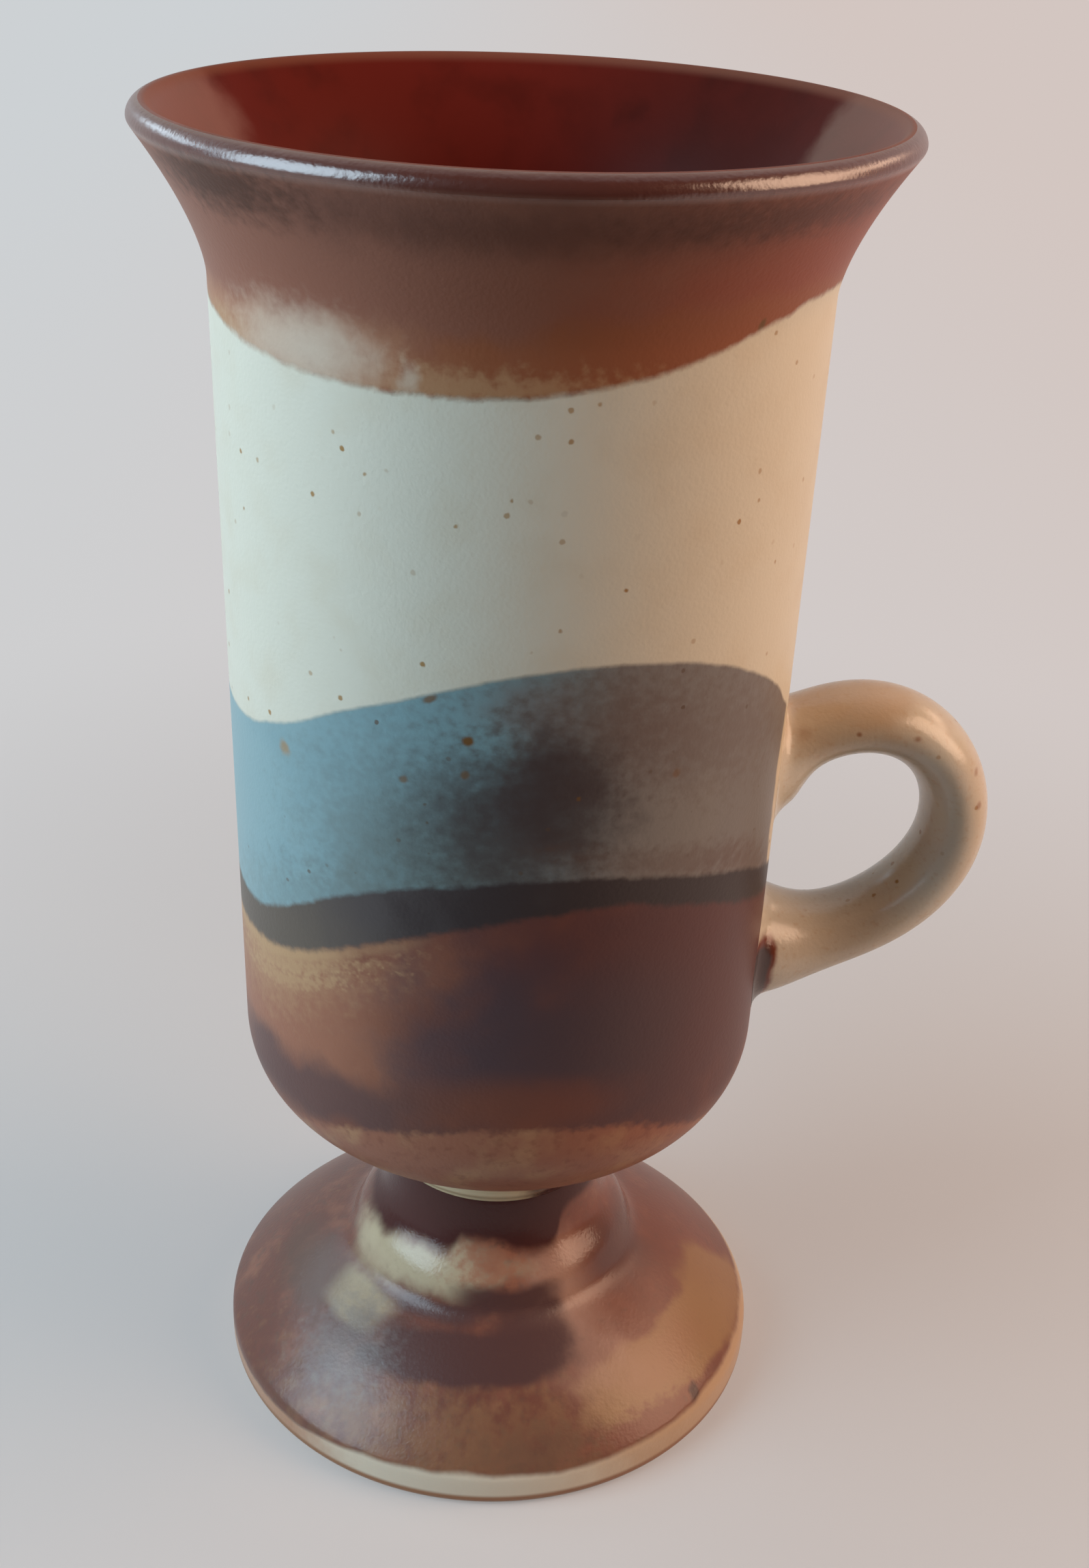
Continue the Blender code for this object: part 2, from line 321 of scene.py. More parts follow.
def handle_path():
    """The strap's middle line in the handle's plane, from root to root, with a straight run into the wall."""
    root_r = WALL_R - ROOT_SINK
    crook_r = OUTERMOST_R - STRAP_T / 2
    lower_z = WALL_Z + LOWER_ROOT_RISE
    upper_z = lower_z + ROOT_SPAN
    crook_z = upper_z - CROOK_DROP
    upper = [
        (root_r, upper_z),
        (root_r + UPPER_ARM, upper_z + UPPER_SLOPE * UPPER_ARM),
        (crook_r, crook_z + UPPER_CROOK),
        (crook_r, crook_z),
    ]
    lower = [
        (crook_r, crook_z),
        (crook_r, crook_z - LOWER_CROOK),
        (root_r + LOWER_ARM, lower_z + LOWER_SLOPE * LOWER_ARM),
        (root_r, lower_z),
    ]
    strap = np.concatenate([bezier(upper, STRAP_STEPS), bezier(lower, STRAP_STEPS)[1:]])
    into_upper = (strap[0] - strap[1]) / np.linalg.norm(strap[0] - strap[1])
    into_lower = (strap[-1] - strap[-2]) / np.linalg.norm(strap[-1] - strap[-2])
    run = np.linspace(0.0, ROOT_RUN_IN, RUN_IN_STEPS + 1)[1:, None]
    stretches = [(strap[0] + into_upper * run)[::-1], strap, strap[-1] + into_lower * run]
    return np.concatenate(stretches), len(run)


def strap_lines():
    """Lines along the strap's skin, one for each of its sides, and their outward directions."""
    path, run_in = handle_path()
    ahead = np.gradient(path, axis=0)
    ahead /= np.linalg.norm(ahead, axis=1)[:, None]
    steps = np.concatenate([[0.0], np.cumsum(np.linalg.norm(np.diff(path, axis=0), axis=1))])
    from_upper = np.maximum(steps - steps[run_in], 0.0)
    from_lower = np.maximum(steps[-1 - run_in] - steps, 0.0)
    upper = np.exp(-((from_upper / UPPER_FLARE_L) ** 2))
    lower = np.exp(-((from_lower / LOWER_FLARE_L) ** 2))
    thickness = STRAP_T + UPPER_FLARE_T * upper + LOWER_FLARE_T * lower
    width = STRAP_W + UPPER_FLARE_W * upper + LOWER_FLARE_W * lower
    angle = np.linspace(0.0, math.tau, STRAP_SIDES, endpoint=False)
    out = np.stack([-ahead[:, 1], ahead[:, 0]], axis=1)
    across = np.cos(angle)[None, :] * thickness[:, None] / 2
    places = np.empty((len(path), STRAP_SIDES, 3))
    places[:, :, 0] = path[:, 0, None] + out[:, 0, None] * across
    places[:, :, 1] = np.sin(angle)[None, :] * width[:, None] / 2
    places[:, :, 2] = path[:, 1, None] + out[:, 1, None] * across
    outward = np.empty_like(places)
    outward[:, :, 0] = out[:, 0, None] * np.cos(angle)
    outward[:, :, 1] = np.sin(angle)
    outward[:, :, 2] = out[:, 1, None] * np.cos(angle)
    return places, outward


def off_wall(places):
    """Distance of points in the handle's plane frame from the cup's wall."""
    return np.hypot(places[..., 0], places[..., 1]) - wall_radius(places[..., 2])


def root_rings(line, outward, levels):
    """Points of a line at set distances from the wall, spread there by the fillet, and where it leaves."""
    distance = off_wall(line)
    order = np.argsort(distance)
    places = sampled(levels, distance[order], line[order])
    outs = sampled(levels, distance[order], outward[order])
    wall_out = places * np.array([1.0, 1.0, 0.0])
    wall_out /= np.linalg.norm(wall_out, axis=1)[:, None]
    along_wall = outs - wall_out * np.sum(outs * wall_out, axis=1)[:, None]
    near = np.clip(levels, 0.0, FILLET_R)
    spread = FILLET_R - np.sqrt(FILLET_R**2 - (FILLET_R - near) ** 2)
    leaves = np.interp(levels[-1], distance[order], order.astype(float))
    return places + along_wall * spread[:, None], leaves


def handle_skin(name):
    """The pulled strap, with both roots spread onto the wall in a fillet."""
    places, outward = strap_lines()
    middle = len(places) // 2
    fillet_levels = FILLET_R * np.array(FILLET_LEVELS)
    further_levels = np.arange(FILLET_R + ROOT_STEP, ROOT_REACH, ROOT_STEP)
    levels = np.concatenate([fillet_levels, further_levels, [ROOT_REACH]])
    free_steps = np.linspace(0.0, 1.0, STRAP_RINGS + 1)[1:-1]
    lines = []
    for k in range(STRAP_SIDES):
        upper, leaves_upper = root_rings(places[middle::-1, k], outward[middle::-1, k], levels)
        lower, leaves_lower = root_rings(places[middle:, k], outward[middle:, k], levels)
        start = middle - leaves_upper
        end = middle + leaves_lower
        at = start + (end - start) * free_steps
        free = sampled(at, np.arange(len(places)), places[:, k])
        lines.append(np.concatenate([upper, free, lower[::-1]]))
    shape = bmesh.new()
    rings = [[shape.verts.new(line[i]) for line in lines] for i in range(len(lines[0]))]
    for ring, following in zip(rings, rings[1:]):
        for k in range(STRAP_SIDES):
            j = (k + 1) % STRAP_SIDES
            shape.faces.new((ring[k], ring[j], following[j], following[k]))
    shape.faces.new(rings[0])
    shape.faces.new(rings[-1])
    bmesh.ops.recalc_face_normals(shape, faces=shape.faces)
    return finished(name, shape, AXIS_PLACE)


cup = turned("cup", cup_profile())
foot = turned("foot", foot_profile())
ring = turned("slip_ring", ring_profile())
handle = handle_skin("handle_strap")


def linear(hex_colour):
    """Linear RGBA from an sRGB hex value."""
    parts = []
    for i in (1, 3, 5):
        value = int(hex_colour[i : i + 2], 16) / 255
        parts.append(value / 12.92 if value <= 0.04045 else ((value + 0.055) / 1.055) ** 2.4)
    return (*parts, 1.0)


def add_node(tree, kind, links=None, **settings):
    """A node with its settings and with its inputs linked or set. Hands back its first output in use."""
    node = tree.nodes.new(kind)
    for name, value in settings.items():
        setattr(node, name, value)
    for key, value in (links or {}).items():
        named = [socket for socket in node.inputs if socket.name == key and socket.enabled]
        socket = named[0] if named else node.inputs[key]
        if isinstance(value, bpy.types.NodeSocket):
            tree.links.new(value, socket)
        else:
            socket.default_value = value
    return next((socket for socket in node.outputs if socket.enabled), None)


# Unevenness that glazes share: size in mm along x, y and z, and how many finer octaves it has
UNEVEN = {
    "cloud": ((5.5, 5.5, 5.5), 4.0),
    "mottle": ((1.2, 1.2, 1.0), 4.0),
    "granule": ((0.75, 0.75, 0.6), 1.0),
    "drip": ((1.6, 1.6, 5.0), 3.0),
    "grain": ((0.45, 0.45, 0.45), 1.0),
}
UNEVEN_GAIN = 2.2  # brings Blender's noise to about -0.5 to 0.5
EDGE_ROOM = 1.0  # spare height that an edge's curve has over and under its points
SPECK_RAGGED = 0.35  # unevenness of a speck's outline, and how soft it is, as shares of its radius
SPECK_SOFT = 0.2


class Skin:
    """A material under way, with where each point of the piece is and the unevenness its glazes share.

    A fade is (value, start, end): nothing where the value is at start, and all where it is at end.
    """

    def __init__(self, name, specular_ior):
        self.material = bpy.data.materials.new(name)
        self.material.use_nodes = True
        self.tree = self.material.node_tree
        self.shader = self.tree.nodes["Principled BSDF"]
        self.shader.inputs["IOR"].default_value = specular_ior
        tree = self.tree
        coords = add_node(tree, "ShaderNodeTexCoord").node.outputs["Object"]
        upright = (0.0, 0.0, math.radians(HANDLE_TURN - 90.0))
        sizes = {"Vector": coords, "Rotation": upright, "Scale": (1 / MM, 1 / MM, 1 / MM)}
        self.spot = add_node(tree, "ShaderNodeMapping", sizes)
        axes = add_node(tree, "ShaderNodeSeparateXYZ", {0: self.spot}).node.outputs
        self.height = axes["Z"]
        front = add_node(tree, "ShaderNodeMath", {0: axes["Y"], 1: -1.0}, operation="MULTIPLY")
        angle = add_node(tree, "ShaderNodeMath", {0: axes["X"], 1: front}, operation="ARCTAN2")
        self.turn = add_node(tree, "ShaderNodeMath", {0: angle}, operation="DEGREES")
        self.place = add_node(tree, "ShaderNodeCombineXYZ", {"X": self.turn, "Y": self.height})
        self.made = {}

    def uneven(self, name):
        """One of the shared kinds of unevenness, from about -0.5 to 0.5."""
        if name not in self.made:
            sizes, octaves = UNEVEN[name]
            scale = [1 / size for size in sizes]
            sized = add_node(self.tree, "ShaderNodeMapping", {"Vector": self.spot, "Scale": scale})
            links = {"Vector": sized, "Scale": 1.0, "Detail": octaves}
            noise = add_node(self.tree, "ShaderNodeTexNoise", links)
            ends = {"Value": noise, "From Min": 0.0, "To Min": -UNEVEN_GAIN / 2, "To Max": UNEVEN_GAIN / 2}
            self.made[name] = add_node(self.tree, "ShaderNodeMapRange", ends)
        return self.made[name]

    def layered(self, colour, *coats):
        """A colour with coats laid over it in turn, each (coat colour, *fade) and perhaps its most cover."""
        for coat_colour, value, start, end, *cover in coats:
            most = cover[0] if cover else 1.0
            ends = {"Value": value, "From Min": start, "From Max": end, "To Max": most}
            share = add_node(self.tree, "ShaderNodeMapRange", ends, interpolation_type="SMOOTHSTEP")
            sides = {"Factor": share, "A": colour, "B": coat_colour}
            colour = add_node(self.tree, "ShaderNodeMix", sides, data_type="RGBA")
        return colour

    def over(self, edge):
        """Height over a glaze's wavy edge, which is drawn through (turn, height) points."""
        tree = self.tree
        low = min(height for _, height in edge) - EDGE_ROOM
        high = max(height for _, height in edge) + EDGE_ROOM
        whole_turn = {"Value": self.turn, "From Min": -180.0, "From Max": 180.0}
        along = add_node(tree, "ShaderNodeMapRange", whole_turn)
        line = add_node(tree, "ShaderNodeFloatCurve", {"Value": along})
        points = line.node.mapping.curves[0].points
        while len(points) < len(edge):
            points.new(0.5, 0.5)
        for point, (turn, height) in zip(points, edge):
            point.location = (turn / 360.0 + 0.5, (height - low) / (high - low))
        line.node.mapping.update()
        level = add_node(tree, "ShaderNodeMapRange", {"Value": line, "To Min": low, "To Max": high})
        return add_node(tree, "ShaderNodeMath", {0: self.height, 1: level}, operation="SUBTRACT")

    def above(self, edge, soft, ragged, texture="mottle"):
        """The fade from below to above a glaze's edge, over soft mm, with the edge broken by ragged mm."""
        rough = {0: self.uneven(texture), 1: ragged, 2: self.over(edge)}
        height = add_node(self.tree, "ShaderNodeMath", rough, operation="MULTIPLY_ADD")
        return height, -soft / 2, soft / 2

    def patched(self, colour, patches, place=None):
        """A colour with patches of other glazes laid over it one by one."""
        tree = self.tree
        for patch in patches:
            centre = (*patch.at, 0.0)[:3]
            reach = (*patch.half, 1.0)[:3]
            frame_of = {"Vector": place or self.place, "Location": centre, "Scale": reach}
            frame_of["Rotation"] = (0.0, 0.0, math.radians(patch.tilt))
            near = add_node(tree, "ShaderNodeMapping", frame_of, vector_type="TEXTURE")
            if patch.boxy:
                near = add_node(tree, "ShaderNodeVectorMath", {0: near, 1: near}, operation="MULTIPLY")
            out = add_node(tree, "ShaderNodeVectorMath", {0: near}, operation="LENGTH")
            if patch.boxy:
                out = add_node(tree, "ShaderNodeMath", {0: out}, operation="SQRT")
            rough = {0: self.uneven(patch.texture), 1: patch.ragged, 2: out}
            out = add_node(tree, "ShaderNodeMath", rough, operation="MULTIPLY_ADD")
            fade = (out, 1 + patch.soft / 2, 1 - patch.soft / 2)
            colour = self.layered(colour, (linear(patch.colour), *fade, patch.cover))
        return colour

    def specked(self, colour, speck_colour, spacing, radius, share):
        """A colour with iron specks in a share of cells that are spacing mm apart, some of them fainter."""
        tree = self.tree
        links = {"Vector": self.spot, "Scale": 1 / spacing}
        cells = add_node(tree, "ShaderNodeTexVoronoi", links).node.outputs
        chance = add_node(tree, "ShaderNodeSeparateColor", {0: cells["Color"]})
        ends = {"Value": chance, "From Min": 1 - share, "From Max": 1.0}
        kept = add_node(tree, "ShaderNodeMapRange", ends, interpolation_type="SMOOTHSTEP")
        reach = radius / spacing
        rough = {0: self.uneven("grain"), 1: SPECK_RAGGED * reach, 2: cells["Distance"]}
        distance = add_node(tree, "ShaderNodeMath", rough, operation="MULTIPLY_ADD")
        fade = (distance, (1 + SPECK_SOFT) * reach, (1 - 2 * SPECK_SOFT) * reach)
        return self.layered(colour, (linear(speck_colour), *fade, kept))

    def coat(self, colour, roughness, sheen, relief):
        """The finished colour, with roughness, sheen and relief in mm.

        Each of the three is a list that starts with a plain number, and goes on with what is added to it: a
        (value, change) pair follows the value, and (*fade, change) comes in with the fade.
        """
        tree = self.tree
        totals = []
        for total, *layers in (roughness, sheen, relief):
            for value, *ends, change in layers:
                if ends:
                    fade = {"Value": value, "From Min": ends[0], "From Max": ends[1]}
                    value = add_node(tree, "ShaderNodeMapRange", fade, interpolation_type="SMOOTHSTEP")
                sides = {0: value, 1: change, 2: total}
                total = add_node(tree, "ShaderNodeMath", sides, operation="MULTIPLY_ADD")
            totals.append(total)
        bump = {"Height": totals[2], "Distance": MM, "Strength": 1.0}
        finish = {
            "Base Color": colour,
            "Roughness": totals[0],
            "Specular IOR Level": totals[1],
            "Normal": add_node(tree, "ShaderNodeBump", bump),
        }
        for name, value in finish.items():
            if isinstance(value, float):
                self.shader.inputs[name].default_value = value
            else:
                tree.links.new(value, self.shader.inputs[name])
        return self.material


class Patch(NamedTuple):
    """A cloud, run or brush mark of one glaze over another."""

    colour: str
    at: tuple  # (turn, height), or (x, y, z) on the handle
    half: tuple  # how far it reaches to either side
    tilt: float = 0.0
    soft: float = 0.8  # the share of its reach over which it fades
    ragged: float = 0.6  # how far the unevenness breaks its edge
    texture: str = "cloud"
    cover: float = 1.0
    boxy: bool = False  # whether it fills its corners, as a brush mark does


GLAZE_IOR = 1.5
LIP_WOBBLE = 0.02  # relief that breaks the highlight along the lip

# Glaze colours
CREAM = "#DCD6C4"
WARM_CREAM = "#D2C5AC"
SPECK_OCHRE = "#A67E4A"
SPECK_BROWN = "#5F4A3A"
SPECK_IRON = "#74522F"
RIM_BROWN = "#905C49"
RIM_DARK = "#6C4437"
RIM_RED = "#944932"
RIM_SHADE = "#4C2818"
LIP_RED = "#54231B"
RUST = "#95593C"
STRAW = "#BF9870"
TAN_RUST = "#B07E60"
PALE_CLOUD = "#C4A690"
MILK = "#D0BFAC"
TEAL = "#80A0A6"
PALE_TEAL = "#8FABAE"
ASH = "#7D7875"
PALE_ASH = "#837E79"
OLIVE = "#6A7470"
SMOKE = "#4A3D3C"
MOTTLE_BROWN = "#654A3E"
CHARCOAL = "#534B4A"
SOOT = "#423939"
UMBER = "#665A4F"
AMBER = "#A16A52"
PLUM = "#5E4547"
DEEP_PLUM = "#55474C"
RED_PLUM = "#633F3C"
MAHOGANY = "#83503F"
DUSK = "#624643"
BOWL_BROWN = "#9E6852"
FOOT_BROWN = "#72463A"
FOOT_TAN = "#9D7853"
# Pink-tan glaze, partly a painted warm highlight on the tier and wholly a painted reflection on the liner's
# flare
PINK_TAN_AND_SHEEN = "#B08A78"
# Rose only paints a pale reflection on the liner's flare
ROSE_REFLECTION = "#B8948E"
BLOTCH = "#573B38"
SHOULDER_STRAW = "#BCAA8C"
# Straw on the slip ring, partly a painted highlight
SLIP_STRAW_AND_HIGHLIGHT = "#CFBE9C"
NECK_DARK = "#4B2A27"
EDGE_CREAM = "#D6C8B2"
EDGE_TAN = "#BE9C7C"
EDGE_LINE = "#95643F"
BARE_CLAY = "#B89B7D"
OXBLOOD = "#6C2118"
# Darker liner red, in random clouds and also as painted shade on the liner's right
OX_DARK_AND_SHADE = "#481710"
HANDLE_CREAM = "#D6CFC0"
HANDLE_TAN = "#C3A27D"
FRECKLE = "#94592F"
LAP_BROWN = "#4A3836"
LAP_EDGE = "#7A3B26"

# Edges of the glaze bands, as (turn, height) points all round the cup
RIM_EDGE = [
    (-180, 131.2), (-140, 132.6), (-100, 133.0), (-73, 132.0), (-50, 130.5), (-30, 129.8), (-10, 129.8),
    (10, 130.8), (30, 132.8), (50, 135.5), (62, 136.4), (80, 135.6), (115, 133.2), (150, 131.4), (180, 131.2),
]
BLUE_EDGE = [
    (-180, 100.0), (-150, 101.2), (-120, 97.5), (-95, 92.6), (-73, 91.0), (-62, 91.3), (-53, 92.6),
    (-44, 94.4), (-32, 97.6), (-20, 100.2), (-8, 102.5), (4, 104.1), (16, 104.7), (28, 104.2), (40, 102.7),
    (52, 100.0), (64, 96.2), (74, 92.0), (84, 90.0), (105, 90.0), (125, 93.0), (150, 97.5), (180, 100.0),
]
CHARCOAL_TOP = [
    (-180, 76.0), (-150, 74.5), (-120, 71.0), (-90, 69.2), (-65, 69.3), (-54, 71.0), (-44, 73.6),
    (-28, 78.0), (-8, 81.0), (10, 82.0), (28, 80.9), (40, 79.2), (55, 76.8), (70, 73.6), (90, 71.0),
    (115, 71.0), (150, 74.0), (180, 76.0),
]
CHARCOAL_FOOT = [
    (-180, 72.5), (-150, 71.0), (-120, 67.0), (-90, 64.4), (-72, 64.9), (-58, 65.8), (-48, 67.1),
    (-36, 69.8), (-20, 73.6), (-2, 76.8), (10, 78.0), (20, 78.3), (32, 77.0), (46, 74.7), (58, 72.2),
    (72, 69.6), (90, 68.0), (115, 68.0), (150, 71.0), (180, 72.5),
]
BOWL_EDGE = [
    (-180, 48.0), (-150, 47.0), (-120, 44.5), (-90, 43.0), (-60, 43.5), (-45, 45.5), (-30, 48.0), (-10, 50.5),
    (5, 51.4), (20, 50.8), (40, 47.5), (60, 44.0), (80, 43.0), (115, 43.5), (150, 46.5), (180, 48.0),
]
NECK_EDGE = [
    (-180, 22.5), (-130, 21.5), (-90, 20.0), (-62, 19.3), (-50, 20.4), (-36, 21.2), (-25, 21.0), (-15, 23.0),
    (-5, 23.3), (15, 21.5), (28, 21.2), (38, 24.0), (50, 25.5), (70, 25.5), (100, 24.8), (140, 23.2),
    (180, 22.5),
]
EDGE_TOP = [
    (-180, 4.6), (-90, 3.0), (-50, 3.1), (-34, 3.9), (-10, 4.5), (30, 4.5), (60, 5.0), (90, 4.9), (180, 4.6),
]


def behind(colour, height, half, soft, ragged, cover):
    """A patch across the middle of the back, where turns of 180 and -180 meet."""
    return [Patch(colour, (turn, height), half, 0.0, soft, ragged, cover=cover) for turn in (180, -180)]


def fleck(at, half, cover=1.0, colour=SPECK_IRON, tilt=0.0, soft=1.0, ragged=0.4):
    """A single speck with a finely broken edge."""
    return Patch(colour, at, half, tilt, soft, ragged, "mottle", cover)


# Patches of glaze over the bands
RIM_PATCHES = [
    *behind(RIM_DARK, 145.8, (80, 2.8), soft=1.6, ragged=0.9, cover=0.7),
    *behind(RUST, 132.6, (60, 3.4), soft=1.2, ragged=0.9, cover=0.6),
    Patch(RIM_RED, (55, 141), (34, 8), cover=0.7, soft=1.4),
    Patch(RUST, (36, 133.4), (58, 4.2), tilt=2, soft=0.6, ragged=0.5, cover=0.9),
    Patch(RIM_DARK, (8, 145.6), (40, 2.8), soft=1.8, ragged=0.8, cover=0.72),
    Patch(RIM_SHADE, (6, 144.8), (36, 1.3), soft=1.8, ragged=1.2, texture="drip", cover=0.25),
    Patch(RIM_SHADE, (-47, 146.2), (14, 2.6), soft=1.6, ragged=0.9, texture="mottle", cover=0.9),
    Patch(RIM_SHADE, (42, 145.6), (20, 1.5), soft=1.7, ragged=1.4, texture="mottle", cover=0.45),
    Patch(RUST, (-14, 131.6), (28, 2.8), soft=1.2, ragged=0.9, cover=0.8),
    Patch(STRAW, (-10, 130.6), (30, 1.5), soft=1.6, ragged=1.6, texture="mottle", cover=0.55),
    Patch(TAN_RUST, (-64, 132.4), (20, 2.4), soft=1.4, ragged=0.9, cover=0.7),
    Patch(TAN_RUST, (-26, 132.0), (10, 3.0), soft=1.4, ragged=0.9, cover=0.7),
    Patch(STRAW, (-62, 131.6), (14, 1.2), soft=1.6, ragged=0.9, texture="mottle", cover=0.5),
    Patch(PALE_CLOUD, (-42, 131.8), (14, 3.4), soft=1.7, ragged=0.6, texture="mottle", cover=0.9),
    Patch(MILK, (-37, 132), (10, 2.4), soft=1.8, ragged=0.8, cover=0.6),
    Patch(MILK, (-18, 131.0), (1.5, 1.2), soft=1.5, ragged=0.8, texture="mottle", cover=0.5),
    fleck((43, 135.2), (0.8, 0.5), tilt=20),
]
BLUE_PATCHES = [
    Patch(PALE_TEAL, (-80, 82), (40, 24), soft=1.2, cover=0.7),
    Patch(ASH, (84, 90), (76, 60), soft=0.4, ragged=0.15, boxy=True),
    Patch(ASH, (6, 84), (14, 5), soft=1.4, ragged=0.8, cover=0.8),
    Patch(ASH, (7, 101), (12, 4), soft=1.6, ragged=1.0, cover=0.75),
    Patch(PALE_ASH, (32, 86.5), (15, 5.5), soft=1.2, ragged=0.7, cover=0.7),
    Patch(OLIVE, (-30, 76), (34, 4), tilt=8, soft=1.6, ragged=1.0, texture="mottle", cover=0.35),
    Patch(OLIVE, (-10, 84), (20, 8), tilt=8, soft=1.5, ragged=0.7, cover=0.7),
    Patch(OLIVE, (-14, 88), (24, 10), tilt=8, soft=1.6, ragged=1.3, texture="mottle", cover=0.35),
    Patch(MOTTLE_BROWN, (38, 95.5), (28, 5), tilt=-6, soft=1.8, ragged=1.6, texture="mottle", cover=0.34),
    Patch(MOTTLE_BROWN, (18, 97.5), (14, 4.5), soft=1.8, ragged=1.4, texture="mottle", cover=0.3),
    Patch(SMOKE, (1, 87), (15, 7.5), soft=1.8, ragged=0.8, texture="mottle", cover=0.7),
    Patch(SMOKE, (5, 90.4), (14, 6), soft=1.5, ragged=1.0, cover=0.8),
    Patch(SMOKE, (9, 90.6), (10, 4.6), soft=1.4, ragged=1.6, cover=0.6),
    Patch(MOTTLE_BROWN, (38, 81.4), (22, 1.5), tilt=-7, soft=1.6, ragged=1.2, texture="mottle", cover=0.45),
    Patch(MOTTLE_BROWN, (60, 76.4), (14, 1.8), tilt=-13, soft=1.6, ragged=1.2, texture="mottle", cover=0.45),
    fleck((-7, 97), (1.0, 0.5), soft=0.9),
    fleck((-7.5, 93.4), (0.8, 0.45), 0.7),
    fleck((-19, 92), (0.8, 0.4), 0.7),
    fleck((-47, 91), (1.3, 0.7), 0.7, SPECK_OCHRE, soft=1.4, ragged=0.6),
    fleck((-14, 101), (1.2, 0.4), 0.8, tilt=15),
    fleck((33, 92), (0.8, 0.5), 0.7),
    Patch(WARM_CREAM, (94, 81), (21.5, 13), soft=0.1, ragged=0.1, boxy=True),
]
CHARCOAL_PATCHES = [
    Patch(UMBER, (-66, 68), (40, 9), soft=1.2, ragged=0.4, cover=0.9),
    Patch(SOOT, (30, 76), (48, 14), soft=0.8, boxy=True, cover=0.95),
]
LOWER_PATCHES = [
    *behind(PLUM, 60, (56, 9), soft=1.5, ragged=0.9, cover=0.7),
    Patch(AMBER, (-54, 60), (36, 11), soft=1.0, ragged=0.6, boxy=True, cover=0.95),
    Patch(AMBER, (-15, 70.5), (10, 4), tilt=12, soft=1.6, ragged=0.8, cover=0.4),
    Patch(PLUM, (48, 64), (60, 17), soft=0.9, ragged=0.5),
    Patch(PLUM, (-12, 60), (9, 6), soft=1.4, cover=0.6),
    Patch(RED_PLUM, (35, 75), (44, 6), tilt=-4, soft=1.5, cover=0.7),
    Patch(RED_PLUM, (70, 60), (32, 16), soft=1.4, cover=0.8),
    Patch(DEEP_PLUM, (8, 61.5), (24, 7.5), soft=1.6, ragged=0.8, cover=0.6),
    Patch(DUSK, (-42, 50.4), (38, 3.6), tilt=3, soft=1.1, ragged=0.8, boxy=True, cover=0.9),
    Patch(MAHOGANY, (4, 54.4), (19, 3.2), soft=1.2, ragged=0.5, cover=0.7),
]
